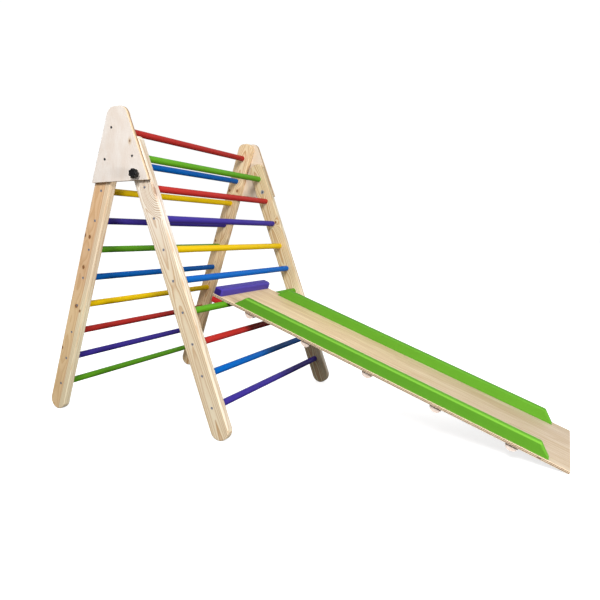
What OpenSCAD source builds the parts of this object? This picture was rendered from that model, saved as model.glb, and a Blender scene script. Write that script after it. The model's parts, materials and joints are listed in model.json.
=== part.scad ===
// Folding climbing frame with a hook-on ramp.
// +X runs down the ramp, +Y is to the left of a child who sits on it, and +Z is up.
// The origin is on the floor, under the middle of the object.

/* [Frame] */
// Distance from one rung's axis to the next, along the rails
pitch = 100; // [90:1:120]
// Lean of each side from upright, with the frame open
lean = 19.5; // [16:0.5:24]
// Width over the outer faces of the back rails
frame_w = 760; // [500:5:900]
// Number of rungs in the front frame, which the ramp hooks on
front_rungs = 9; // [7:1:9]
// Number of rungs in the back frame
back_rungs = 10; // [8:1:10]

/* [Rails and rungs] */
// Width of a rail, seen from the side
rail_w = 66; // [50:1:72]
// Thickness of a rail
rail_t = 26; // [22:1:32]
// Radius on a rail's long edges
rail_edge_r = 4; // [1:0.5:6]
// Diameter of a rung
rung_d = 22; // [18:0.5:26]
// Depth of the blind socket that holds a rung's end
socket_depth = 10; // [6:1:14]
// Length of a front rail above the hinge
front_top = 63; // [50:1:64]
// Length of a front rail from its lowest rung to the centre of its round foot
foot_run = 70; // [50:1:90]

/* [Hinge plates] */
// Thickness of a hinge plate
plate_t = 12; // [9:1:18]
// Height of a plate above the hinge
plate_rise = 152; // [140:1:170]
// Depth of a plate below the hinge
plate_drop = 73; // [70:1:85]
// Corner radius at the top of a plate
plate_r = 30; // [20:1:32]
// Distance that the top corners of a plate are drawn in from the rails' edges
plate_taper = 4.5; // [0:0.5:6]
// Corner radius at the top of a rail
top_r = 25; // [15:1:25]
// Distance from the hinge to the centre line of the back rails
hinge_reach = 106; // [104:1:112]
// Distance from the hinge up to the top back rung, along the back rails
hinge_sink = 59; // [50:1:65]
// Gap between a plate and the front rail that turns inside it
plate_gap = 0.5; // [0.3:0.1:1]

/* [Knobs] */
// Distance from the hinge down to the locking knob
knob_drop = 58; // [52:1:60]
// Diameter over the lobes of a knob
knob_d = 30; // [26:1:34]
// Number of lobes on a knob
knob_lobes = 7; // [5:1:8]
// Distance that a knob stands out from its plate
knob_h = 25; // [18:1:30]
// Diameter of the threaded stud
stud_d = 8; // [6:1:8]

/* [Ramp] */
// Rung that the ramp hooks on, counted from 0 at the hinge
ramp_rung = 5; // [2:1:6]
// Length of the ramp board
board_l = 1184; // [1100:1:1250]
// Width of the ramp board
board_w = 330; // [280:5:360]
// Thickness of the ramp board
board_t = 9; // [8:0.5:12]
// Height of the side rails
side_h = 34; // [25:1:45]
// Thickness of the side rails
side_t = 26; // [18:1:30]
// Distance from the board's edge to a side rail
side_inset = 4; // [2:1:10]
// Distance from the board's upper end to the side rails
side_start = 91; // [70:1:110]
// Distance from the side rails to the board's lower end
side_end = 55; // [40:1:80]
// Width of the hook block under the board, along the ramp
hook_w = 42; // [30:1:45]
// Height of the hook block
hook_h = 22; // [18:1:28]
// Width of the stop bar on top of the board, along the ramp
bar_w = 34; // [25:1:40]
// Height of the stop bar
bar_h = 26; // [15:1:30]
// Number of half-round treads under the board
treads = 5; // [3:1:6]
// Radius of a tread
tread_r = 18; // [14:1:20]
// Distance from the rung to the first tread
tread_start = 101; // [80:1:120]
// Distance from one tread to the next
tread_pitch = 220; // [150:1:230]
// Distance from the board's long edges to a tread's ends
tread_inset = 8; // [4:1:30]

/* [Screws] */
// Diameter of a rung screw's shank
screw_d = 4.5; // [4:0.5:6]
// Length of a rung screw
screw_l = 60; // [50:1:70]
// Diameter of the smaller screws in the ramp
ramp_screw_d = 4; // [3:0.5:5]

/* [Hidden] */
$fn = 64;

// Colours
pine = "#ead9b4";
pale_wood = "#e9dfd6";
birch = "#d8c2a0";
green = "#6fb43c";
red = "#b8383a";
purple = "#4c3aa8";
yellow = "#e8bd16";
blue = "#1a66b8";
steel = "#6a6d72";
zinc = "#9aa3a8";
black = "#22252a";
FRONT_COLOURS = [green, red, purple, yellow, blue, green, red, blue, purple];
BACK_COLOURS = [red, blue, yellow, purple, green, blue, yellow, red, purple, green];

// Fits and small sizes
socket_clear = 0.1;
hole_clear = 0.1;
hinge_clear = 0.05;
head_clear = 0.2;
rest_clear = 0.3;
end_gap = 0.2;
head_rise = 1.9;
cut = 1;

// Sides: the right side is at -Y
foot_r = rail_w / 2;
rung_r = rung_d / 2;
plate_y = frame_w / 2;
back_outer = frame_w / 2;
front_outer = frame_w / 2 - plate_gap;

// Places of the hinge and the two frames
hinge_z = ((front_rungs - 1) * pitch + foot_run) * cos(lean) + foot_r;
back_dx = hinge_sink * sin(lean) - hinge_reach * cos(lean);
back_dz = hinge_sink * cos(lean) + hinge_reach * sin(lean);
back_foot = (hinge_z + back_dz - foot_r) / cos(lean);
back_foot_x = back_dx - back_foot * sin(lean) - foot_r;

// The ramp turns about its rung, and its lower corner meets the floor
rest_r = rung_r + rest_clear;
ramp_over = rest_r + hook_w;
ramp_run = board_l - ramp_over;
ramp_x = ramp_rung * pitch * sin(lean);
ramp_z = hinge_z - ramp_rung * pitch * cos(lean);
ramp_angle = asin(ramp_z / norm([ramp_run, rest_r])) + atan(rest_r / ramp_run);
ramp_tip_x = ramp_x + ramp_run * cos(ramp_angle) + (rest_r + board_t) * sin(ramp_angle);
hinge_x = -(ramp_tip_x + back_foot_x) / 2;

// Outline of a hinge plate, measured from the hinge
function plate_left(z) = back_dx + (sin(lean) * (z - back_dz) - rail_w / 2) / cos(lean);
function plate_right(z) = (rail_w / 2 - sin(lean) * z) / cos(lean);
function back_top(x) = (plate_rise - back_dz + sin(lean) * x) / cos(lean);
plate_corners = [
    [plate_left(plate_rise) + plate_taper, plate_rise],
    [plate_left(-plate_drop), -plate_drop],
    [plate_right(-plate_drop), -plate_drop],
    [plate_right(plate_rise) - plate_taper, plate_rise]];

// Corner rounding that keeps true arcs: a polygon through the tangent points, and a circle at
// each corner
function toward(a, b) = (b - a) / norm(b - a);
function before(p, i) = p[(i + len(p) - 1) % len(p)];
function after(p, i) = p[(i + 1) % len(p)];
function half_angle(p, i) = acos(toward(p[i], before(p, i)) * toward(p[i], after(p, i))) / 2;
function tangent_point(p, i, r, side) =
    p[i] + toward(p[i], side < 0 ? before(p, i) : after(p, i)) * r / tan(half_angle(p, i));
function corner_points(p, i, r) =
    r > 0 ? [tangent_point(p, i, r, -1), tangent_point(p, i, r, 1)] : [p[i]];
function corner_centre(p, i, r) =
    let (middle = toward(p[i], before(p, i)) + toward(p[i], after(p, i)))
    p[i] + middle / norm(middle) * r / sin(half_angle(p, i));

module rounded_polygon(points, radii) {
    polygon([for (i = [0 : len(points) - 1]) each corner_points(points, i, radii[i])]);
    for (i = [0 : len(points) - 1])
        if (radii[i] > 0)
            translate(corner_centre(points, i, radii[i]))
                circle(r = radii[i]);
}

module rounded_rectangle(w, h, r) {
    rounded_polygon([[-w, -h] / 2, [w, -h] / 2, [w, h] / 2, [-w, h] / 2], [r, r, r, r]);
}

// A side view in X and Z, made solid from y to y + t
module slab(y, t) {
    translate([0, y + t, 0])
        rotate([90, 0, 0])
            linear_extrude(t)
                children();
}

// A cylinder or cone along Y, from y outwards to y + l
module y_cylinder(y, l, r, r2) {
    translate([0, y, 0])
        rotate([-90, 0, 0])
            cylinder(h = l, r1 = r, r2 = r2 == undef ? r : r2);
}

// Every side piece is drawn at +Y, and the right side is its mirror image
module at_side(right) {
    mirror([0, right ? 1 : 0, 0])
        children();
}

// Local frames: x across the rail, z up along it from the top rung
module in_front_frame() {
    translate([hinge_x, 0, hinge_z])
        rotate([0, -lean, 0])
            children();
}

module in_back_frame() {
    translate([hinge_x + back_dx, 0, hinge_z + back_dz])
        rotate([0, lean, 0])
            children();
}

module at_hinge() {
    translate([hinge_x, 0, hinge_z])
        children();
}

// Local frame of the ramp: x down the board from the rung's axis, z out of the board's top
module in_ramp() {
    translate([hinge_x + ramp_x, 0, ramp_z])
        rotate([0, ramp_angle, 0])
            children();
}

// Screws: a countersunk head whose flat is at y, a shank that points to -Y, and a cone tip
module screw(y, d, l) {
    difference() {
        union() {
            y_cylinder(y - d * 0.6, d * 0.6, d / 2, d * 0.9);
            y_cylinder(y - l + d, l - d * 1.6, d / 2);
            y_cylinder(y - l, d, 0.4, d / 2);
        }
        translate([0, y, 0])
            cross_recess(d);
    }
}

module cross_recess(d) {
    for (turn = [0, 90])
        rotate([0, turn, 0])
            cube([d * 1.1, d * 0.5, d * 0.22], center = true);
}

// The hole for such a screw, with its countersink open past y
module screw_hole(y, d, l, clear) {
    y_cylinder(y - l, l, d / 2 + clear);
    y_cylinder(y - d * 0.6, d * 0.6 + cut, d / 2 + head_clear, d * 0.9 + head_clear + cut * 2 / 3);
}

// Rails: a side view with rounded top corners and a round foot, cut to the rail's section
module rail_body(outer, top_points, foot_z) {
    points = concat(top_points, [[rail_w / 2, foot_z], [-rail_w / 2, foot_z]]);
    intersection() {
        union() {
            slab(outer - rail_t, rail_t)
                polygon([for (i = [0 : 3]) each corner_points(points, i, i < 2 ? top_r : 0)]);
            for (i = [0, 1])
                let (centre = corner_centre(points, i, top_r))
                    translate([centre.x, 0, centre.y])
                        y_cylinder(outer - rail_t, rail_t, top_r);
            translate([0, 0, foot_z])
                y_cylinder(outer - rail_t, rail_t, foot_r);
        }
        translate([0, outer - rail_t / 2, foot_z - rail_w])
            linear_extrude(front_top + rail_w * 2 - foot_z)
                rounded_rectangle(rail_w, rail_t, rail_edge_r);
    }
}

module rung_sockets(outer, count) {
    for (k = [0 : count - 1])
        translate([0, 0, -k * pitch])
            y_cylinder(outer - rail_t - cut, socket_depth + cut, rung_r + socket_clear);
}

module front_rail(right) {
    at_side(right) in_front_frame()
        difference() {
            rail_body(front_outer,
                [[-rail_w / 2, front_top], [rail_w / 2, front_top]],
                -(front_rungs - 1) * pitch - foot_run);
            rung_sockets(front_outer, front_rungs);
            y_cylinder(front_outer - rail_t, rail_t + cut, screw_d / 2 + hole_clear);
            for (k = [1 : front_rungs - 1])
                translate([0, 0, -k * pitch])
                    screw_hole(front_outer, screw_d, screw_l, hole_clear);
            translate([0, 0, -knob_drop]) {
                y_cylinder(front_outer - rail_t - cut, rail_t + cut * 2, stud_d / 2 + hole_clear);
                y_cylinder(front_outer - rail_t - cut, nut_l + cut + end_gap, nut_r + hole_clear);
            }
        }
}

module back_rail(right) {
    at_side(right) in_back_frame()
        difference() {
            rail_body(back_outer,
                [[-rail_w / 2, back_top(-rail_w / 2)], [rail_w / 2, back_top(rail_w / 2)]],
                -back_foot);
            rung_sockets(back_outer, back_rungs);
            for (k = [0, 1])
                translate([0, 0, -k * pitch])
                    y_cylinder(back_outer - rail_t, rail_t + cut, screw_d / 2 + hole_clear);
            for (k = [2 : back_rungs - 1])
                translate([0, 0, -k * pitch])
                    screw_hole(back_outer, screw_d, screw_l, hole_clear);
        }
}

// Rungs, with a pilot hole in each end
module rung(outer) {
    half = outer - rail_t + socket_depth - end_gap;
    pilot = screw_l - rail_t + socket_depth + end_gap;
    difference() {
        y_cylinder(-half, half * 2, rung_r);
        for (right = [false, true])
            at_side(right)
                y_cylinder(half - pilot, pilot + cut, screw_d / 2 + hole_clear);
    }
}

module front_rung(k) {
    color(FRONT_COLOURS[k])
        in_front_frame()
            translate([0, 0, -k * pitch])
                rung(front_outer);
}

module back_rung(k) {
    color(BACK_COLOURS[k])
        in_back_frame()
            translate([0, 0, -k * pitch])
                rung(back_outer);
}

module front_rung_screws(right) {
    color(steel)
        at_side(right) in_front_frame()
            for (k = [1 : front_rungs - 1])
                translate([0, 0, -k * pitch])
                    screw(front_outer, screw_d, screw_l);
}

module back_rung_screws(right) {
    color(steel)
        at_side(right) in_back_frame()
            for (k = [2 : back_rungs - 1])
                translate([0, 0, -k * pitch])
                    screw(back_outer, screw_d, screw_l);
}

// Hinge plates and their screws
module hinge_plate(right) {
    color(pale_wood)
        at_side(right)
            difference() {
                at_hinge()
                    slab(plate_y, plate_t)
                        rounded_polygon(plate_corners, [plate_r, 2, 2, plate_r]);
                at_hinge()
                    screw_hole(plate_y + plate_t, screw_d, plate_t + cut, hinge_clear);
                in_front_frame()
                    translate([0, 0, -knob_drop])
                        y_cylinder(plate_y - cut, plate_t + cut * 2, stud_d / 2 + hinge_clear);
                in_back_frame()
                    for (k = [0, 1])
                        translate([0, 0, -k * pitch])
                            screw_hole(plate_y + plate_t, screw_d, plate_t + cut, hole_clear);
            }
}

module plate_screws() {
    color(steel)
        for (right = [false, true])
            at_side(right) in_back_frame()
                for (k = [0, 1])
                    translate([0, 0, -k * pitch])
                        screw(plate_y + plate_t, screw_d, screw_l + plate_t);
}

module hinge_screw(right) {
    color(steel)
        at_side(right) in_front_frame()
            screw(plate_y + plate_t, screw_d, screw_l + plate_t);
}

// Locking nuts: a flange on the inner face of the front rail, and a barrel inside it
nut_r = 5;
nut_l = 10;
nut_flange_r = 8;
nut_flange_t = 1.5;

module lock_nuts() {
    color(zinc)
        for (right = [false, true])
            at_side(right) in_front_frame()
                translate([0, 0, -knob_drop])
                    difference() {
                        union() {
                            y_cylinder(front_outer - rail_t, nut_l, nut_r);
                            y_cylinder(front_outer - rail_t - nut_flange_t, nut_flange_t, nut_flange_r);
                        }
                        y_cylinder(front_outer - rail_t - nut_flange_t - cut,
                            nut_l + nut_flange_t + cut * 2, stud_d / 2 - 0.6);
                    }
}

// Star knobs: a stud in the plate, and a lobed grip that turns with it
stud_grip = knob_h * 0.6;
hub_h = knob_h * 0.4;
hub_r = knob_d * 0.24;
lobe_r = knob_d * 0.14;

module knob_stud(right) {
    color(zinc)
        at_side(right) in_front_frame()
            translate([0, 0, -knob_drop])
                y_cylinder(plate_y, plate_t + stud_grip, stud_d / 2);
}

module star_outline() {
    difference() {
        circle(r = knob_d / 2);
        for (i = [0 : knob_lobes - 1])
            rotate(360 / knob_lobes * (i + 0.5))
                translate([knob_d / 2 + lobe_r * 0.35, 0])
                    circle(r = lobe_r);
    }
}

module star_knob(right) {
    color(black)
        at_side(right) in_front_frame()
            translate([0, 0, -knob_drop])
                difference() {
                    union() {
                        y_cylinder(plate_y + plate_t + rest_clear, hub_h, hub_r);
                        slab(plate_y + plate_t + hub_h, knob_h - hub_h)
                            star_outline();
                    }
                    y_cylinder(plate_y, plate_t + stud_grip + 1, stud_d / 2 + hinge_clear);
                }
}

// Ramp
board_low = rest_r;
board_top = rest_r + board_t;

module ramp_board() {
    color(birch)
        in_ramp()
            difference() {
                translate([board_l / 2 - ramp_over, 0, board_low])
                    linear_extrude(board_t)
                        rounded_rectangle(board_l, board_w, 3);
                at_side_rail_screws()
                    ramp_screw_hole(side_screw_l);
                at_hook_screws()
                    ramp_screw_hole(hook_screw_l);
                at_tread_screws()
                    ramp_screw_hole(tread_screw_l);
            }
}

// A side rail has a sloping end at each end and eased top edges
side_l = board_l - side_start - side_end;
side_y = board_w / 2 - side_inset - side_t;

module ramp_side_rail(right) {
    color(green)
        at_side(right) in_ramp()
            difference() {
                intersection() {
                    translate([side_start - ramp_over, 0, board_top])
                        slab(side_y, side_t)
                            polygon([[0, 0], [side_l, 0], [side_l - side_h, side_h], [side_h, side_h]]);
                    translate([side_start - ramp_over, side_y + side_t / 2, board_top])
                        rotate([90, 0, 90])
                            linear_extrude(side_l)
                                rounded_polygon(
                                    [[-side_t / 2, 0], [side_t / 2, 0],
                                        [side_t / 2, side_h], [-side_t / 2, side_h]],
                                    [0, 0, 5, 5]);
                }
                at_side_rail_screws()
                    ramp_screw_hole(side_screw_l);
            }
}

// The stop bar stands on the board's upper end, and the hook block hangs under it
bar_inset = 2;
hook_inset = 2;
bar_chamfer = 5;
hook_chamfer = 2;

// A bar along Y from x to x + w and from z to z + h, chamfered at its free edges and ends
module chamfered_bar(x, w, z, h, l, c, up) {
    intersection() {
        translate([x, 0, z])
            slab(-l / 2, l)
                polygon(up
                    ? [[0, 0], [w, 0], [w, h - c], [w - c, h], [c, h], [0, h - c]]
                    : [[0, h], [w, h], [w, c], [w - c, 0], [c, 0], [0, c]]);
        translate([x, 0, z])
            rotate([90, 0, 90])
                linear_extrude(w)
                    polygon(up
                        ? [[-l / 2, 0], [l / 2, 0], [l / 2, h - c], [l / 2 - c, h],
                            [c - l / 2, h], [-l / 2, h - c]]
                        : [[-l / 2, h], [l / 2, h], [l / 2, c], [l / 2 - c, 0],
                            [c - l / 2, 0], [-l / 2, c]]);
        translate([x, 0, z])
            linear_extrude(h)
                polygon([[c, -l / 2], [w - c, -l / 2], [w, c - l / 2], [w, l / 2 - c],
                    [w - c, l / 2], [c, l / 2], [0, l / 2 - c], [0, c - l / 2]]);
    }
}

module ramp_stop_bar() {
    color(purple)
        in_ramp()
            difference() {
                chamfered_bar(-ramp_over, bar_w, board_top, bar_h,
                    board_w - bar_inset * 2, bar_chamfer, true);
                at_hook_screws()
                    ramp_screw_hole(hook_screw_l);
            }
}

module ramp_hook_block() {
    color(red)
        in_ramp()
            difference() {
                chamfered_bar(-ramp_over, hook_w, board_low - hook_h, hook_h,
                    board_w - hook_inset * 2, hook_chamfer, false);
                at_hook_screws()
                    ramp_screw_hole(hook_screw_l);
            }
}

module ramp_tread(k) {
    color(pale_wood)
        in_ramp()
            difference() {
                translate([tread_start + (k - 1) * tread_pitch, 0, board_low])
                    intersection() {
                        y_cylinder(tread_inset - board_w / 2, board_w - tread_inset * 2, tread_r);
                        translate([0, 0, -tread_r])
                            cube([tread_r * 2, board_w, tread_r * 2], center = true);
                    }
                at_tread_screws()
                    ramp_screw_hole(tread_screw_l);
            }
}

// Ramp screws point up, out of the board's top, and are drawn in their own local frame with
// the head's flat at z = 0
hook_screw_l = 45;
side_screw_l = 35;
tread_screw_l = 22;
tread_sink = 2;

module ramp_screw(l) {
    d = ramp_screw_d;
    difference() {
        union() {
            cylinder(h = d * 0.5, r1 = d * 0.9, r2 = d / 2);
            translate([0, 0, d * 0.5])
                cylinder(h = l - d * 1.5, r = d / 2);
            translate([0, 0, l - d])
                cylinder(h = d, r1 = d / 2, r2 = 0.4);
        }
        for (turn = [0, 90])
            rotate(turn)
                cube([d * 1.1, d * 0.22, d * 0.5], center = true);
    }
}

module ramp_screw_hole(l) {
    d = ramp_screw_d;
    translate([0, 0, -tread_sink - cut])
        cylinder(h = tread_sink + cut, r = d * 0.9 + head_clear);
    cylinder(h = d * 0.5 + head_clear, r1 = d * 0.9 + head_clear, r2 = d / 2 + hole_clear);
    cylinder(h = l + end_gap, r = d / 2 + hole_clear);
}

module at_hook_screws() {
    for (side = [-1, 0, 1])
        translate([bar_w / 2 - ramp_over, side * board_w * 0.4, board_low - hook_h])
            children();
}

module at_side_rail_screws() {
    for (side = [-1, 1])
        for (i = [0 : 4])
            translate([side_start - ramp_over + side_h + 20 + (side_l - side_h * 2 - 40) / 4 * i,
                side * (side_y + side_t / 2), board_low])
                children();
}

module at_tread_screws() {
    for (side = [-1, 1])
        for (k = [0 : treads - 1])
            translate([tread_start + k * tread_pitch, side * board_w * 0.27,
                board_low - tread_r + tread_sink])
                children();
}

module hook_screws() {
    color(steel)
        in_ramp()
            at_hook_screws()
                ramp_screw(hook_screw_l);
}

module side_rail_screws() {
    color(steel)
        in_ramp()
            at_side_rail_screws()
                ramp_screw(side_screw_l);
}

module tread_screws() {
    color(steel)
        in_ramp()
            at_tread_screws()
                ramp_screw(tread_screw_l);
}

color(pine) front_rail(false);  // front_left_rail
color(pine) front_rail(true);  // front_right_rail
front_rung(0);  // front_rung_1_green
front_rung(1);  // front_rung_2_red
front_rung(2);  // front_rung_3_purple
front_rung(3);  // front_rung_4_yellow
front_rung(4);  // front_rung_5_blue
front_rung(5);  // front_rung_6_green
front_rung(6);  // front_rung_7_red
front_rung(7);  // front_rung_8_blue
front_rung(8);  // front_rung_9_purple
front_rung_screws(false);  // front_left_rung_screws
front_rung_screws(true);  // front_right_rung_screws
hinge_screw(false);  // left_hinge_screw
hinge_screw(true);  // right_hinge_screw
lock_nuts();
color(pine) back_rail(false);  // back_left_rail
color(pine) back_rail(true);  // back_right_rail
back_rung(0);  // back_rung_1_red
back_rung(1);  // back_rung_2_blue
back_rung(2);  // back_rung_3_yellow
back_rung(3);  // back_rung_4_purple
back_rung(4);  // back_rung_5_green
back_rung(5);  // back_rung_6_blue
back_rung(6);  // back_rung_7_yellow
back_rung(7);  // back_rung_8_red
back_rung(8);  // back_rung_9_purple
back_rung(9);  // back_rung_10_green
hinge_plate(false);  // left_hinge_plate
hinge_plate(true);  // right_hinge_plate
back_rung_screws(false);  // back_left_rung_screws
back_rung_screws(true);  // back_right_rung_screws
plate_screws();
knob_stud(false);  // left_knob_stud
knob_stud(true);  // right_knob_stud
star_knob(false);  // left_star_knob
star_knob(true);  // right_star_knob
ramp_board();
ramp_side_rail(false);  // ramp_left_side_rail
ramp_side_rail(true);  // ramp_right_side_rail
ramp_stop_bar();
ramp_hook_block();
ramp_tread(1);  // ramp_tread_1
ramp_tread(2);  // ramp_tread_2
ramp_tread(3);  // ramp_tread_3
ramp_tread(4);  // ramp_tread_4
ramp_tread(5);  // ramp_tread_5
hook_screws();
side_rail_screws();
tread_screws();
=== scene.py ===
import json
import math
import bpy
import bmesh
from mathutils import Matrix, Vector


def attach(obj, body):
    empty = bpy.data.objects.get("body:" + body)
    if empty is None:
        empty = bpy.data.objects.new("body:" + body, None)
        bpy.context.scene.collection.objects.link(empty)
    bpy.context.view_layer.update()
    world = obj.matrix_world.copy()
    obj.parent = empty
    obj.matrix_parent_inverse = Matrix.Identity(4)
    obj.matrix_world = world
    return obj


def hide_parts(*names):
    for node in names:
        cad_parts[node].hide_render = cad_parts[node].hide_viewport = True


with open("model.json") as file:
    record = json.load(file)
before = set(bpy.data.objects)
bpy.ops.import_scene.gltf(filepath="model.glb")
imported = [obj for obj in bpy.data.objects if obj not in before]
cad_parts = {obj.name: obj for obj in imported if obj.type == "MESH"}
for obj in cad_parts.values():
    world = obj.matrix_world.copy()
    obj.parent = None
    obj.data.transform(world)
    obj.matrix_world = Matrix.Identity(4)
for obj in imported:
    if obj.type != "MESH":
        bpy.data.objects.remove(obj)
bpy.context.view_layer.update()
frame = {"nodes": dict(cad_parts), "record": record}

NODES = frame["nodes"]
JOINTS = {j["name"]: j for j in frame["record"]["behaviour"]["joints"]}

# ---------------------------------------------------------------------------------------------
# Sizes, in metres, the same as the CAD's
# ---------------------------------------------------------------------------------------------
# the two ladder frames, each with its lean, its rungs and its rails
FRAME_W = 0.760
LEAN = math.radians(19.5)
PITCH = 0.100
RUNG_R = 0.011
RUNGS = {"front": 9, "back": 10}
RAIL_W, RAIL_T = 0.066, 0.026
FRONT_OUT, BACK_OUT = FRAME_W / 2 - 0.0005, FRAME_W / 2
FRONT_TOP, FRONT_FOOT = 0.063, (RUNGS["front"] - 1) * PITCH + 0.070
TOP_R = 0.025
RAIL_EASE = 0.0036

# clearances, and the frames' screws: hole, countersink, and how many the plate covers
HOLE_CLEAR, PLATE_CLEAR, END_GAP = 0.0001, 0.00005, 0.0002
SOCKET_DEPTH = 0.010
SCREW_R, HEAD_R, CONE = 0.00225 + HOLE_CLEAR, 0.00425, 0.0027
PLATE_SCREW_R = 0.00232
UNDER_PLATE = {"front": 1, "back": 2}

# the hinge plates, and the back frame's place from the hinge
HINGE = Vector(JOINTS["frame_fold"]["pos_m"])
SINK, REACH = 0.059, 0.106
BDX = SINK * math.sin(LEAN) - REACH * math.cos(LEAN)
BDZ = SINK * math.cos(LEAN) + REACH * math.sin(LEAN)
BACK_O = HINGE + Vector((BDX, 0, BDZ))
BACK_FOOT = (HINGE.z + BDZ - RAIL_W / 2) / math.cos(LEAN)
PLATE_Y, PLATE_T = FRAME_W / 2, 0.012
PLATE_OUT = PLATE_Y + PLATE_T
RISE, DROP, PLATE_R, TAPER = 0.152, 0.073, 0.030, 0.0045

# the star knobs, with their studs and lock nuts
KNOB_DROP = 0.058
STUD_R, NUT_R, NUT_L = 0.004, 0.005, 0.010
KNOB_R, LOBES = 0.015, 7
NOTCH_R = KNOB_R * 0.28                 # the round notches between the lobes,
NOTCH_AT = KNOB_R + NOTCH_R * 0.35      # and how far out their middles are

# the ramp: its board, then the block and the bar at its upper end
RAMP_O = Vector(JOINTS["ramp_lift"]["pos_m"])
REST = RUNG_R + 0.0003
BOARD_L, BOARD_W, BOARD_T = 1.184, 0.330, 0.009
BOARD_TOP = REST + BOARD_T
PLIES, VOID_X = 5, 1.052
HOOK_W, HOOK_H, HOOK_CHAMFER = 0.042, 0.022, 0.002
BAR_W, BAR_H, BAR_CHAMFER = 0.034, 0.026, 0.005
HOOK_LOW = REST - HOOK_H
BLOCK_L = BOARD_W - 0.004
OVER = REST + HOOK_W
RUN = BOARD_L - OVER
THETA = math.asin(RAMP_O.z / math.hypot(RUN, REST)) + math.atan(REST / RUN)

# its side rails and treads
SIDE_H, SIDE_T, SIDE_INSET, SIDE_START, SIDE_END = 0.034, 0.026, 0.004, 0.091, 0.055
SIDE_X0, SIDE_X1 = SIDE_START - OVER, BOARD_L - SIDE_END - OVER
SIDE_IN = BOARD_W / 2 - SIDE_INSET - SIDE_T
TREADS, TREAD_START, TREAD_PITCH = 5, 0.101, 0.220

# its screws: the hole's radius, the countersink, and where they stand on the board
RAMP_SCREW_R, RAMP_HEAD_R, RAMP_CONE = 0.002 + HOLE_CLEAR, 0.0038, 0.0022
HOOK_SCREW_L = 0.045
HOOK_SPOTS = [(BAR_W / 2 - OVER, k * BOARD_W * 0.4) for k in (-1, 0, 1)]
SIDE_SCREWS = 5
SIDE_FIRST, SIDE_LAST = SIDE_X0 + SIDE_H + 0.020, SIDE_X1 - SIDE_H - 0.020


class Place:
    """A local frame: x across, y along the row's Y, z up the rail or out of the board."""

    def __init__(self, origin, turn):
        self.o = Vector(origin)
        self.x = Vector((math.cos(turn), 0, -math.sin(turn)))
        self.y = Vector((0, 1, 0))
        self.z = Vector((math.sin(turn), 0, math.cos(turn)))

    def at(self, x, y, z):
        return self.o + self.x * x + self.y * y + self.z * z


FRONT = Place(HINGE, -LEAN)
BACK = Place(BACK_O, LEAN)
RAMP = Place(RAMP_O, THETA)
PLATE = Place(HINGE, 0)


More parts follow.
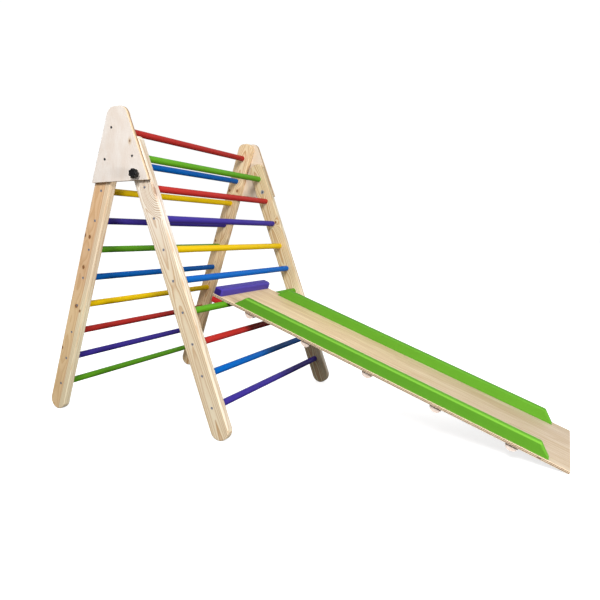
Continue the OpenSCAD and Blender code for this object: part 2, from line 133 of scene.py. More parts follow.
# ---------------------------------------------------------------------------------------------
# Materials. Their lengths are in millimetres, and their tones are sRGB from 0 to 255
# ---------------------------------------------------------------------------------------------
class Graph:
    """One Principled material. A value v is a socket, or a plain number or colour."""

    def __init__(self, name):
        self.mat = bpy.data.materials.new(name)
        self.mat.use_nodes = True
        self.nt = self.mat.node_tree
        self.nt.nodes.clear()
        self.out = self.nt.nodes.new("ShaderNodeOutputMaterial")
        self.bsdf = self.nt.nodes.new("ShaderNodeBsdfPrincipled")
        self.nt.links.new(self.bsdf.outputs[0], self.out.inputs[0])

    def put(self, socket, v):
        if isinstance(v, bpy.types.NodeSocket):
            self.nt.links.new(v, socket)
        elif v is not None:
            socket.default_value = v

    def m(self, op, a, b=None):
        """A Math node."""
        n = self.nt.nodes.new("ShaderNodeMath")
        n.operation = op
        self.put(n.inputs[0], a)
        self.put(n.inputs[1], b)
        return n.outputs[0]

    def add(self, *v):
        r = v[0]
        for w in v[1:]:
            r = self.m("ADD", r, w)
        return r

    def mul(self, *v):
        r = v[0]
        for w in v[1:]:
            r = self.m("MULTIPLY", r, w)
        return r

    def sub(self, a, b):
        return self.m("SUBTRACT", a, b)

    def absolute(self, v):
        return self.m("ABSOLUTE", v)

    def square(self, a, b, share=1.0):
        """a squared plus this share of b squared."""
        bb = self.mul(b, b)
        return self.add(self.mul(a, a), bb if share == 1.0 else self.mul(bb, share))

    def far(self, a, b, share=1.0):
        return self.m("SQRT", self.square(a, b, share))

    def sway(self, v, amount):
        """Noise v as a move to both sides, half of this amount each way."""
        return self.mul(self.sub(v, 0.5), amount)

    def vec(self, x, y, z):
        n = self.nt.nodes.new("ShaderNodeCombineXYZ")
        for s, v in zip(n.inputs, (x, y, z)):
            self.put(s, v)
        return n.outputs[0]

    def dot(self, v, w):
        n = self.nt.nodes.new("ShaderNodeVectorMath")
        n.operation = "DOT_PRODUCT"
        self.put(n.inputs[0], v)
        self.put(n.inputs[1], w)
        return n.outputs["Value"]

    def local(self, place):
        """Object coordinates in a place's frame: x, y and z sockets in millimetres."""
        tc = self.nt.nodes.new("ShaderNodeTexCoord")
        n = self.nt.nodes.new("ShaderNodeVectorMath")
        n.operation = "SUBTRACT"
        self.nt.links.new(tc.outputs["Object"], n.inputs[0])
        n.inputs[1].default_value = place.o
        d = n.outputs[0]
        return [self.dot(d, axis * 1000) for axis in (place.x, place.y, place.z)]

    def smooth(self, v, a, b, lo=0.0, hi=1.0):
        """From lo at v = a to hi at v = b; a may be more than b."""
        n = self.nt.nodes.new("ShaderNodeMapRange")
        n.interpolation_type = "SMOOTHSTEP"
        self.put(n.inputs["Value"], v)
        flip = a > b
        n.inputs["From Min"].default_value = b if flip else a
        n.inputs["From Max"].default_value = a if flip else b
        n.inputs["To Min"].default_value = hi if flip else lo
        n.inputs["To Max"].default_value = lo if flip else hi
        return n.outputs[0]

    def noise(self, vec, detail, rough, scale=1.0):
        n = self.nt.nodes.new("ShaderNodeTexNoise")
        self.put(n.inputs["Vector"], vec)
        n.inputs["Scale"].default_value = scale
        n.inputs["Detail"].default_value = detail
        n.inputs["Roughness"].default_value = rough
        return n.outputs["Fac"]

    def grain(self, at, pace, detail, rough, shift=None):
        """Noise that changes pace times a millimetre along x, y and z. shift picks another
        piece of it, along z."""
        x, y, z = (self.mul(v, k) for v, k in zip(at, pace))
        return self.noise(self.vec(x, y, z if shift is None else self.add(z, shift)),
                          detail, rough)

    def cells(self, vec):
        n = self.nt.nodes.new("ShaderNodeTexVoronoi")
        self.put(n.inputs["Vector"], vec)
        n.inputs["Scale"].default_value = 1.0
        return n.outputs["Distance"]

    def random(self, v):
        n = self.nt.nodes.new("ShaderNodeTexWhiteNoise")
        n.noise_dimensions = "1D"
        self.put(n.inputs["W"], v)
        return n.outputs["Value"]

    def rings(self, phase, start, end, power, drop):
        """Late wood: in each ring it darkens from start to end, and fades out after drop."""
        t = self.m("FRACT", phase)
        return self.mul(self.m("POWER", self.smooth(t, start, end), power),
                        self.smooth(t, 1.0, drop))

    def mix(self, fac, a, b, mode="MIX"):
        n = self.nt.nodes.new("ShaderNodeMix")
        n.data_type = "RGBA"
        n.blend_type = mode
        n.clamp_factor = True
        self.put(n.inputs[0], fac)
        self.put(n.inputs[6], rgba(a))
        self.put(n.inputs[7], rgba(b))
        return n.outputs[2]

    def tint(self, col, mask, share, tone):
        """The colour with this share of an sRGB tone where the mask is 1."""
        return self.mix(self.mul(mask, share), col, srgb(*tone))

    def shade(self, col, by):
        return self.mix(1.0, col, by, "MULTIPLY")

    def bump(self, height, distance, strength):
        n = self.nt.nodes.new("ShaderNodeBump")
        n.inputs["Strength"].default_value = strength
        n.inputs["Distance"].default_value = distance
        self.put(n.inputs["Height"], height)
        self.nt.links.new(n.outputs[0], self.bsdf.inputs["Normal"])

    def set(self, **kw):
        names = {"color": "Base Color", "rough": "Roughness", "metal": "Metallic",
                 "spec": "Specular IOR Level"}
        for k, v in kw.items():
            self.put(self.bsdf.inputs[names[k]], v)
        return self.mat


def rgba(c):
    if isinstance(c, (tuple, list)) and len(c) == 3:
        return (c[0], c[1], c[2], 1.0)
    return c


def srgb(r, g, b):
    def linear(v):
        v /= 255
        return v / 12.92 if v <= 0.04045 else ((v + 0.055) / 1.055) ** 2.4
    return (linear(r), linear(g), linear(b))


def most(g, values):
    r = values[0]
    for v in values[1:]:
        r = g.m("MAXIMUM", r, v)
    return r


def knot_marks(g, at, knot, share, sunk=False):
    """A knot's dark core, the halo round it and its bark rim. share is how much the distance
    along the board counts. A sunk knot gets smaller behind the face."""
    x, q, z = at
    kx, kz, kr = knot
    d = g.far(g.sub(x, kx), g.sub(z, kz), share)
    if sunk:
        d = g.add(d, g.smooth(q, 5.0, 16.0, 0.0, 12.0))
    ragged = g.grain(at, (0.22, 0.12, 0.22), 3.0, 0.6)
    d = g.add(d, g.sway(ragged, kr * 0.7))
    core = g.smooth(d, kr * 1.05, kr * 0.72)
    halo = g.smooth(d, kr * 2.3, kr * 0.9)
    rim = g.mul(g.smooth(d, kr * 0.60, kr * 0.86), g.smooth(d, kr * 1.12, kr * 0.9))
    return core, halo, rim


def pith(g, z, seed, depth, swing, flames, spacing):
    """How far the pith lies behind the face. It wanders by swing round depth. For flames
    (middle, n, step) it is about n rings deep near z = middle and comes up towards both ends,
    a ring for each step of the distance's root, so that the rings draw nested arches."""
    if flames is None:
        wave = g.noise(g.vec(0.3, 0.7, g.add(g.mul(z, 0.0046), seed * 2.1)), 2.0, 0.5)
        return g.add(depth - swing * 2, g.mul(wave, swing * 4))
    middle, n, step = flames
    dz = g.sub(z, middle)
    far = g.m("SQRT", g.m("SQRT", g.add(g.mul(dz, dz), 64.0)))
    return g.mul(g.sub(n, g.m("DIVIDE", g.sub(far, 7.07), step)), spacing)


def pine(name, place, face, seed, pale, late, top, foot, depth=None, swing=None, flames=None,
         spacing=4.6, centre=0.0, wander=8.0, sharp=1.8, knots=(), big_knot=None, late_mix=0.9,
         heart=None, heart_side=None, painted_light_span=(-170.0, -440.0), narrow_edge_light=None):
    """Flat-sawn softwood. Growth rings lie round a pith that runs along the board, depth
    millimetres behind the face at y = face, and the pith's wandering draws the arches. A knot
    (x, z, radius, push) pushes the rings aside, and the rings turn round the big knot. x, y and
    z are millimetres in the board's frame.

    pale and late are the tones of early and late wood, and heart is the heartwood's, which
    comes in over heart_side in x. top and foot are painted light and shade: they multiply the
    colour above and below a span in z. The edge-face multiplier is painted light and shade too,
    with more shade towards the top."""
    g = Graph(name)
    x, y, z = g.local(place)
    q = g.sub(y, face * 1000)
    at = (x, q, z)
    half = RAIL_W * 500
    slow = g.grain(at, (0.010, 0.010, 0.0040), 2.0, 0.45, seed)
    quick = g.grain(at, (0.030, 0.030, 0.011), 2.0, 0.5, seed + 7.3)

    # distance from the pith, moved by the knots
    d = pith(g, z, seed, depth, swing, flames, spacing)
    px = g.add(g.sub(x, centre), g.sway(slow, wander))
    r = g.far(px, g.sub(q, d))
    r = g.add(r, g.sway(quick, 3.4))
    marks = []
    if big_knot is not None:
        # within about 60 mm, the rings turn round this knot
        kx, kz, _ = big_knot
        away = g.add(g.far(g.sub(x, kx), g.sub(z, kz), 0.45), g.sway(quick, 6.0))
        near = g.mul(g.smooth(away, 72.0, 48.0), g.smooth(x, half - 0.6, half - 1.6))
        r = g.add(r, g.mul(near, g.sub(g.sub(86.0, g.mul(away, 0.95)), r)))
        core, halo, rim = knot_marks(g, at, big_knot, 0.10, sunk=True)
        marks.append((g.mul(core, 0.72), halo, g.mul(rim, 0.22)))
    for (kx, kz, kr, push) in knots:
        # a smooth hump, about twice the knot's size
        e = g.square(g.sub(x, kx), g.sub(z, kz), 0.20)
        r = g.add(r, g.mul(g.m("EXPONENT", g.mul(e, -1.0 / (2.0 * (kr * 2.1) ** 2))), push))
        marks.append(knot_marks(g, at, (kx, kz, kr), 0.62))

    # rings, each with its own strength
    jitter = g.grain(at, (0.35, 0.35, 0.012), 3.0, 0.6)
    phase = g.add(g.m("DIVIDE", r, spacing), g.sway(jitter, 0.20))
    strength = g.add(g.mul(g.random(g.add(g.m("FLOOR", phase), seed * 3.7)), 0.45), 0.55)
    ring = g.mul(g.rings(phase, 0.05, 0.93, sharp, 0.955), strength)
    fibre = g.grain(at, (1.7, 1.7, 0.035), 3.0, 0.65)
    fine = g.grain(at, (5.5, 5.5, 0.11), 2.0, 0.6)
    broad = g.grain(at, (0.030, 0.030, 0.0035), 2.0, 0.5, seed + 3.1)

    # early wood, with heartwood on one side of a dark line
    pale, late = srgb(*pale), srgb(*late)
    base = g.mix(g.smooth(broad, 0.34, 0.66), pale,
                 tuple(p * 0.86 + v * 0.14 for p, v in zip(pale, late)))
    if heart is not None:
        start, end = heart_side
        edge = g.add(x, g.sway(slow, 7.0), g.sway(fibre, 2.0))
        base = g.tint(base, g.smooth(edge, start, end), 0.90, heart)
        line = g.mul(g.smooth(edge, end - 1.5, end + 0.5), g.smooth(edge, end + 3.5, end + 1.0))
        base = g.tint(base, line, 0.5, (214, 158, 122))

    col = g.mix(g.mul(ring, late_mix), base, late)
    if big_knot is not None:
        col = g.tint(col, ring, g.mul(near, 0.55), (150, 108, 66))
    col = g.mix(g.mul(g.smooth(fibre, 0.62, 0.30), 0.12), col, tuple(v * 0.85 for v in late))
    col = g.tint(col, g.smooth(fine, 0.60, 0.36), 0.10, (190, 150, 108))
    ducts = g.cells(g.vec(g.mul(x, 0.55), g.mul(q, 0.55), g.mul(z, 0.045)))
    col = g.tint(col, g.smooth(ducts, 0.085, 0.03), 0.30, (160, 114, 70))
    if marks:
        core, halo, rim = (most(g, masks) for masks in zip(*marks))
        col = g.tint(col, halo, 0.42, (196, 140, 82))
        col = g.mix(g.mul(core, 0.86), col,
                    g.mix(fine, srgb(120, 70, 36), srgb(160, 102, 56)))
        col = g.tint(col, rim, 0.85, (62, 34, 20))

    # painted light and shade: the colour is lifted or dimmed slowly from the board's top to its
    # foot, and again on its edge face, where the light falls differently
    col = g.shade(col, g.mix(g.smooth(g.add(z, g.sway(slow, 120)), *painted_light_span), top, foot))
    if narrow_edge_light is not None:
        upper = [v * k for v, k in zip(narrow_edge_light, (0.84, 0.80, 0.70))]
        tone = g.mix(g.smooth(z, -130.0, -70.0), narrow_edge_light, upper)
        col = g.mix(g.smooth(x, half - 1.4, half - 0.3), col, g.shade(col, tone))
    g.bump(g.add(g.mul(ring, 0.5), g.mul(fibre, 0.6), g.mul(fine, 0.5)), 0.00018, 0.5)
    rough = g.add(0.40, g.mul(ring, -0.06), g.mul(fibre, 0.12))
    return g.set(color=col, rough=rough, spec=0.30)


def plate_wood(name, y_mid, seed, knot, tone):
    """The pale solid-wood hinge plate: fine nearly upright grain and one small knot."""
    g = Graph(name)
    x, y, z = g.local(PLATE)
    y = g.sub(y, y_mid * 1000)
    at = (x, y, z)
    lean = g.add(x, g.mul(z, 0.05))
    wave = g.grain(at, (0.018, 0.02, 0.006), 2.0, 0.5, seed)
    kx, kz, kr = knot
    dx, dz = g.sub(x, kx), g.sub(z, kz)
    bend = g.m("EXPONENT", g.mul(g.square(dx, dz, 0.16), -1.0 / (2 * 9.0 ** 2)))
    phase = g.m("DIVIDE", g.add(lean, g.sway(wave, 34.0), g.mul(bend, 11.0)), 4.1)
    phase = g.add(phase, g.sway(g.grain(at, (0.4, 0.4, 0.02), 3.0, 0.6), 0.6))
    ring = g.rings(phase, 0.05, 0.9, 2.2, 0.92)
    fibre = g.grain(at, (1.6, 1.6, 0.05), 3.0, 0.7)
    fine = g.grain(at, (5.0, 5.0, 0.16), 2.0, 0.6)
    broad = g.grain(at, (0.022, 0.02, 0.012), 2.0, 0.5, seed)
    col = g.mix(g.smooth(broad, 0.3, 0.7), srgb(250, 243, 237), srgb(241, 229, 219))
    col = g.tint(col, ring, 0.30, (214, 186, 160))
    col = g.tint(col, g.smooth(fibre, 0.62, 0.32), 0.26, (214, 190, 168))
    col = g.tint(col, g.smooth(fine, 0.58, 0.36), 0.20, (222, 202, 184))
    ragged = g.grain(at, (0.25, 0.2, 0.25), 3.0, 0.6)
    d = g.add(g.far(dx, dz, 0.45), g.sway(ragged, kr * 0.8))
    col = g.tint(col, g.smooth(d, kr * 3.4, kr * 0.8), 0.55, (205, 168, 116))
    col = g.tint(col, g.smooth(d, kr * 1.1, kr * 0.6), 0.85, (112, 72, 42))
    col = g.shade(col, tone)

    # the sawn edges are browner than the faces, their own colour; their darker half towards the
    # rail is painted shade, the shadow in the gap against the rail
    half = PLATE_T * 500
    edge = g.smooth(g.absolute(y), half - 0.02, half - 0.20)
    inner = g.smooth(g.mul(y, math.copysign(1, y_mid)), 2.5, -3.0)
    sawn = g.mix(inner, g.mix(fibre, srgb(208, 176, 132), srgb(240, 218, 180)),
                 g.mix(fibre, srgb(120, 84, 50), srgb(168, 126, 82)))
    col = g.mix(g.mul(edge, 0.9), col, sawn)
    g.bump(g.add(g.mul(ring, 0.4), g.mul(fibre, 0.6), g.mul(fine, 0.4)), 0.00016, 0.5)
    return g.set(color=col, rough=g.add(0.42, g.mul(fibre, 0.12)), spec=0.30)


def ply_edges(g, x, y, z):
    """The plies that show on a plywood board's edges: long and cross grain by turns."""
    up = g.sub(z, REST * 1000)
    ply = g.m("DIVIDE", up, BOARD_T * 1000 / PLIES)
    odd = g.m("MODULO", g.m("FLOOR", ply), 2.0)
    grain = g.grain((x, y, up), (0.05, 0.05, 2.6), 3.0, 0.6)
    speck = g.grain((x, y, up), (0.9, 0.9, 1.6), 2.0, 0.6)
    long_ply = g.mix(grain, srgb(246, 228, 198), srgb(226, 200, 166))
    cross_ply = g.mix(speck, srgb(92, 62, 46), srgb(132, 98, 76))
    col = g.mix(odd, long_ply, cross_ply)
    glue = g.m("FRACT", ply)
    line = g.add(g.smooth(glue, 0.12, 0.0), g.smooth(glue, 0.88, 1.0))
    col = g.tint(col, line, 0.55, (104, 78, 56))
    # a void in the middle ply, near the lower end: its dark is painted shade, with no hole behind
    # it
    vx = g.absolute(g.sub(x, VOID_X * 1000))
    vz = g.absolute(g.sub(up, BOARD_T * 500))
    side = BOARD_W * 500
    void_shade = g.mul(g.smooth(vx, 5.5, 3.5), g.smooth(vz, 0.7, 0.45),
                 g.smooth(y, 1.0 - side, 0.4 - side))
    return g.tint(col, void_shade, 0.9, (30, 20, 14))


def plywood(name):
    """Birch plywood: a rotary-cut face with long cathedral figure, and banded edges."""
    g = Graph(name)
    x, y, z = g.local(RAMP)

    def figure(along, across, layer, detail, rough):
        return g.noise(g.vec(g.mul(x, along), g.mul(y, across), layer), detail, rough)

    wave = figure(0.0012, 0.011, 2.3, 2.0, 0.5)
    ripple = figure(0.0024, 0.035, 7.7, 3.0, 0.55)
    fibre = figure(0.012, 1.0, 1.1, 3.0, 0.7)
    streak = figure(0.0026, 0.34, 3.6, 2.0, 0.7)
    fine = figure(0.02, 2.2, 5.1, 2.0, 0.6)
    flame = figure(0.0035, 0.085, 9.4, 2.0, 0.5)
    broad = figure(0.004, 0.02, 4.0, 2.0, 0.5)
    phase = g.add(g.mul(y, 0.045), g.mul(wave, 12.0), g.mul(ripple, 2.4))
    ring = g.rings(phase, 0.0, 0.9, 1.7, 0.9)
    col = g.mix(g.smooth(broad, 0.3, 0.7), srgb(240, 221, 187), srgb(226, 203, 164))
    col = g.tint(col, ring, 0.30, (196, 164, 122))
    col = g.tint(col, g.smooth(streak, 0.56, 0.36), 0.42, (190, 158, 116))
    col = g.tint(col, g.smooth(fibre, 0.60, 0.30), 0.34, (193, 163, 124))
    col = g.tint(col, g.smooth(fine, 0.58, 0.38), 0.34, (190, 152, 116))
    col = g.tint(col, g.smooth(flame, 0.50, 0.66), 0.30, (250, 234, 204))
    # painted shade: cooler and darker towards the lower end, where the light falls off
    col = g.shade(col, g.mix(g.smooth(x, 200.0, 1080.0), (1.04, 1.02, 0.96), (0.71, 0.72, 0.78)))

    half_l, half_w = BOARD_L * 500, BOARD_W * 500
    from_mid = g.absolute(g.sub(x, half_l - OVER * 1000))
    edge = g.m("MAXIMUM", g.smooth(g.absolute(y), half_w - 0.85, half_w - 0.55),
               g.smooth(from_mid, half_l - 0.85, half_l - 0.55))
    col = g.mix(edge, col, ply_edges(g, x, y, z))
    g.bump(g.add(g.mul(fibre, 0.7), g.mul(fine, 0.5), g.mul(ring, 0.3)), 0.00014, 0.5)
    return g.set(color=col, rough=g.add(0.40, g.mul(fibre, 0.14)), spec=0.30)


def tread_wood(name, x0):
    """Pale half-round treads, with grain along Y and the tree's middle below them."""
    g = Graph(name)
    x, y, z = g.local(RAMP)
    x = g.sub(x, x0)
    at = (x, y, z)
    wave = g.grain(at, (0.05, 0.006, 0.05), 2.0, 0.5)
    r = g.far(g.sub(x, 9.0), g.add(z, 16.0))
    ring = g.rings(g.add(g.m("DIVIDE", r, 3.4), g.mul(wave, 2.4)), 0.0, 0.9, 2.0, 0.93)
    fibre = g.grain(at, (1.5, 0.04, 1.5), 3.0, 0.65)
    col = g.mix(g.smooth(wave, 0.3, 0.7), srgb(248, 232, 222), srgb(234, 216, 204))
    col = g.tint(col, ring, 0.3, (196, 168, 148))
    col = g.tint(col, g.smooth(fibre, 0.6, 0.3), 0.25, (200, 172, 136))
    g.bump(g.add(g.mul(ring, 0.5), g.mul(fibre, 0.6)), 0.00018, 0.5)
    return g.set(color=col, rough=g.add(0.44, g.mul(fibre, 0.12)))


def paint(name, c, dark, place=FRONT, along_x=False, rough=0.36, spec=0.09, painted_highlight=None,
          ends=None):
    """Satin paint on wood: an even film with faint raised grain, along Y or x, and fine orange
    peel. A painted highlight may lighten the top outer edge, and painted shade may darken the two
    end faces."""
    g = Graph(name)
    at = g.local(place)
    y, z = at[1:]
    if along_x:
        grain = g.grain(at, (0.010, 0.5, 0.5), 3.0, 0.6)
        fine = g.grain(at, (0.03, 1.5, 1.5), 2.0, 0.6)
    else:
        grain = g.grain(at, (0.55, 0.012, 0.55), 3.0, 0.6)
        fine = g.grain(at, (1.6, 0.04, 1.6), 2.0, 0.6)
    cloud = g.grain(at, (0.02, 0.006, 0.02), 2.0, 0.5)
    peel = g.grain(at, (1.1, 1.1, 1.1), 1.0, 0.5)
    fade = g.add(g.mul(g.smooth(grain, 0.60, 0.34), 0.16),
                 g.mul(g.smooth(cloud, 0.35, 0.65), 0.12))
    col = g.mix(fade, srgb(*c), srgb(*dark))
    # painted highlight: a lighter band along the top outer round-over
    if painted_highlight is not None:
        top, out, tone = painted_highlight
        rim = g.mul(g.smooth(z, top - 5.4, top - 3.6),
                    g.smooth(g.absolute(y), out - 5.6, out - 4.2))
        col = g.mix(rim, col, srgb(*tone))
    if ends is not None:
        # painted shade: the two end faces are darker, as faces turned from the light
        half, tone = ends
        col = g.mix(g.smooth(g.absolute(y), half - 0.8, half - 0.2), col, srgb(*tone))
    g.bump(g.add(g.mul(grain, 0.8), g.mul(fine, 0.35), g.mul(peel, 0.5)), 0.00014, 0.45)
    return g.set(color=col, rough=g.add(rough, g.mul(grain, 0.08)), spec=spec)


def metal(name, c, rough=0.34, bright=1.0):
    """Steel with cloudy brightness. bright is how metallic it is, less where it is plated."""
    g = Graph(name)
    at = g.local(FRONT)
    cloud = g.grain(at, (0.9, 0.9, 0.9), 3.0, 0.6)
    fine = g.grain(at, (4.0, 4.0, 4.0), 2.0, 0.5)
    light = srgb(*c)
    col = g.mix(g.smooth(cloud, 0.3, 0.7), light, tuple(v * 0.62 for v in light))
    g.bump(fine, 0.00006, 0.4)
    return g.set(color=col, rough=g.add(rough - 0.08, g.mul(cloud, 0.18)), metal=bright)


def plastic(name, c):
    """Black moulded plastic with a fine spark-eroded surface."""
    g = Graph(name)
    at = g.local(FRONT)
    cloud = g.grain(at, (0.4, 0.4, 0.4), 2.0, 0.5)
    fine = g.grain(at, (3.2, 3.2, 3.2), 2.0, 0.6)
    dark = srgb(*c)
    col = g.mix(g.smooth(cloud, 0.3, 0.7), dark, tuple(v * 1.7 + 0.004 for v in dark))
    g.bump(fine, 0.00008, 0.5)
    return g.set(color=col, rough=g.add(0.30, g.mul(fine, 0.20)), spec=0.30)


# the pine boards' top, foot and edge-face multipliers are painted light and shade
MAT = {
    "front_right_rail": pine(
        "pine_front_right", FRONT, -FRONT_OUT, 1.3, flames=(-415, 6.0, 6.5), centre=-2.0,
        wander=6.0, sharp=2.7, big_knot=(37, -122, 7.0), knots=[(-40, -560, 4, 8)],
        pale=(246, 234, 214), late=(190, 138, 78), top=(1.04, 1.08, 1.14),
        foot=(0.96, 0.94, 0.84), narrow_edge_light=(0.90, 0.95, 1.06)),
    "front_left_rail": pine(
        "pine_front_left", FRONT, FRONT_OUT - RAIL_T, 4.1, depth=22, swing=8, centre=-8,
        knots=[(16, -200, 4.2, 16), (-20, -700, 4.0, 8)],
        pale=(243, 228, 192), late=(196, 152, 98), top=(0.91, 0.89, 0.84),
        foot=(1.15, 1.18, 1.26), painted_light_span=(-400.0, -560.0), narrow_edge_light=(0.97, 1.02, 1.14)),
    "back_right_rail": pine(
        "pine_back_right", BACK, -BACK_OUT, 8.6, depth=34, swing=5, spacing=4.4, centre=-14,
        knots=[(-30, -360, 4.6, 4), (-8, -358, 4.6, 4), (-8, -464, 4.8, 4),
               (-4, -604, 5.2, 4), (16, -614, 3.4, 3), (-28, -772, 3.6, 4)],
        pale=(242, 226, 200), late=(206, 160, 112), late_mix=0.6, top=(1.0, 0.98, 0.94),
        foot=(1.12, 1.20, 1.14), painted_light_span=(-470.0, -640.0), heart=(233, 194, 152),
        heart_side=(14.0, 10.0)),
    "back_left_rail": pine(
        "pine_back_left", BACK, BACK_OUT - RAIL_T, 12.2, depth=24, swing=9, centre=6,
        knots=[(-20, -148, 4.2, 10), (18, -138, 4.6, 11), (-24, -382, 4.0, 8),
               (20, -398, 3.6, 8)],
        pale=(236, 216, 180), late=(190, 144, 94), top=(1.12, 1.11, 1.08),
        foot=(1.24, 1.18, 1.10)),
    "right_hinge_plate": plate_wood("plate_wood_right", -(PLATE_Y + PLATE_T / 2), 2.0,
                                    (-7, 45, 3.2), (0.96, 0.97, 0.97)),
    "left_hinge_plate": plate_wood("plate_wood_left", PLATE_Y + PLATE_T / 2, 9.0,
                                   (30, -20, 2.6), (0.91, 0.87, 0.77)),
    "ramp_board": plywood("birch_plywood"),
    "screw_steel": metal("screw_steel", (112, 114, 120)),
    "plated_steel": metal("plated_steel", (176, 178, 194), 0.44, bright=0.5),
    "zinc": metal("zinc_steel", (196, 202, 210), 0.44, bright=0.6),
    "knob": plastic("black_plastic", (9, 9, 11)),
}
RUNG_PAINTS = {
    "green": ((94, 162, 30), (74, 138, 20)),
    "red": ((186, 46, 40), (150, 30, 27)),
    "purple": ((62, 48, 148), (48, 34, 122)),
    "yellow": ((230, 192, 4), (210, 164, 0)),
    "blue": ((0, 98, 186), (0, 76, 154)),
}
for colour, (light, dark) in RUNG_PAINTS.items():
    MAT[colour] = paint("paint_" + colour, light, dark)
    # painted light and shade: the back rungs get a darker copy of each paint, except that the
    # yellow ones get a lighter copy
    k = 1.05 if colour == "yellow" else 0.95
    MAT["back_" + colour] = paint("paint_back_" + colour, [v * k for v in light],
                                  [v * (k - 0.03) for v in dark], BACK)
# the side rails' lighter top outer edge is a painted highlight
MAT["ramp_green"] = paint(
    "paint_ramp_green", (94, 155, 44), (84, 142, 36), RAMP, along_x=True, rough=0.50, spec=0.04,
    painted_highlight=((BOARD_TOP + SIDE_H) * 1000, (SIDE_IN + SIDE_T) * 1000, (114, 176, 56)))
# the stop bar's darker end faces are painted shade
MAT["bar_purple"] = paint("paint_bar_purple", (74, 61, 158), (60, 46, 136), RAMP,
                          ends=(BLOCK_L * 500, (50, 38, 112)))
MAT["hook_red"] = paint("paint_hook_red", (190, 44, 42), (160, 34, 34), RAMP)
for i in range(TREADS):
    MAT["ramp_tread_%d" % (i + 1)] = tread_wood("tread_wood_%d" % (i + 1),
                                                (TREAD_START + TREAD_PITCH * i) * 1000)

# the CAD nodes whose material isn't named after them
OTHERS = {"lock_nuts": "zinc", "left_knob_stud": "zinc", "right_knob_stud": "zinc",
          "left_star_knob": "knob", "right_star_knob": "knob",
          "ramp_left_side_rail": "ramp_green", "ramp_right_side_rail": "ramp_green",
          "ramp_stop_bar": "bar_purple", "ramp_hook_block": "hook_red"}


def material_of(name):
    """The material of a CAD node."""
    if "rung_screws" in name:
        return MAT["plated_steel"]
    if "screw" in name:
        return MAT["screw_steel"]
    if "_rung_" in name:
        colour = name.rsplit("_", 1)[1]
        return MAT["back_" + colour if name.startswith("back") else colour]
    return MAT[OTHERS.get(name, name)]


for name, o in NODES.items():
    o.data.materials.clear()
    o.data.materials.append(material_of(name))
    for p in o.data.polygons:
        p.material_index = 0


# ---------------------------------------------------------------------------------------------
# Pieces with eased edges, which replace the CAD's plain boards
# ---------------------------------------------------------------------------------------------
def arc(point, a, b, half, r, steps):
    """The centre of a circle of radius r that touches both sides of a corner, and the angles of
    points on it from side a to side b. half is half the corner's angle, and steps gives the
    number of steps for the angle that the arc turns through."""
    centre = point + (a + b).normalized() * (r / math.sin(half))
    t = r / math.tan(half)
    d0, d1 = point + a * t - centre, point + b * t - centre
    a0 = math.atan2(d0.y, d0.x)
    turn = (math.atan2(d1.y, d1.x) - a0 + math.pi) % (2 * math.pi) - math.pi
    n = steps(abs(turn))
    return centre, [a0 + turn * k / n for k in range(n + 1)]


def rounded(points, radii, inset, seg=12):
    """A convex outline with rounded corners: (u, v, in_u, in_v, share) for each point, where in
    is the inward move that insets the outline by 1, and share is how much of an edge's profile
    it takes. A corner with a radius below inset keeps its radius."""
    pts = [Vector(p) for p in points]
    out = []
    n = len(pts)
    for i in range(n):
        p, r = pts[i], radii[i]
        a = (pts[i - 1] - p).normalized()
        b = (pts[(i + 1) % n] - p).normalized()
        half = math.acos(max(-1, min(1, a.dot(b)))) / 2
        centre, angles = arc(p, a, b, half, r,
                             lambda turn: max(2, math.ceil(seg * turn / (math.pi / 2))))
        for angle in angles:
            ray = Vector((math.cos(angle), math.sin(angle)))
            move = -ray if r > inset else (a + b).normalized() / math.sin(half)
            q = centre + ray * r
            if out and (Vector(out[-1][:2]) - q).length < 1e-6:
                continue
            out.append((q.x, q.y, move.x, move.y, 1.0))
    if (Vector(out[0][:2]) - Vector(out[-1][:2])).length < 1e-6:
        out.pop()
    return out


def eased(r, seg=4):
    """A round edge, as (inset, depth) from the flat to the wall."""
    return [(r * (1 - math.sin(a)), r * (1 - math.cos(a)))
            for a in (math.pi / 2 * k / seg for k in range(seg + 1))]


def chamfered(c, r=0.0006):
    """A chamfer with eased corners, as (inset, depth) from the flat to the wall."""
    flat = [Vector(p) for p in ((4 * c, 0.0), (c, 0.0), (0.0, c), (0.0, 4 * c))]
    out = []
    for i in (1, 2):
        p = flat[i]
        a, b = (flat[i - 1] - p).normalized(), (flat[i + 1] - p).normalized()
        centre, angles = arc(p, a, b, math.acos(a.dot(b)) / 2, r, lambda turn: 2)
        out += [(centre.x + r * math.cos(angle), centre.y + r * math.sin(angle))
                for angle in angles]
    return out


def finish_piece(bm, name, body, mat, node, sharp=35):
    bmesh.ops.recalc_face_normals(bm, faces=bm.faces)
    me = bpy.data.meshes.new(name)
    bm.to_mesh(me)
    bm.free()
    me.materials.append(mat)
    me.shade_smooth()
    me.set_sharp_from_angle(angle=math.radians(sharp))
    o = bpy.data.objects.new(name, me)
    bpy.context.scene.collection.objects.link(o)
    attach(o, body)
    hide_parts(node)


def bridge(bm, a, b):
    """Faces between two loops of the same length."""
    n = len(a)
    for i in range(n):
        bm.faces.new((a[i], a[(i + 1) % n], b[(i + 1) % n], b[i]))


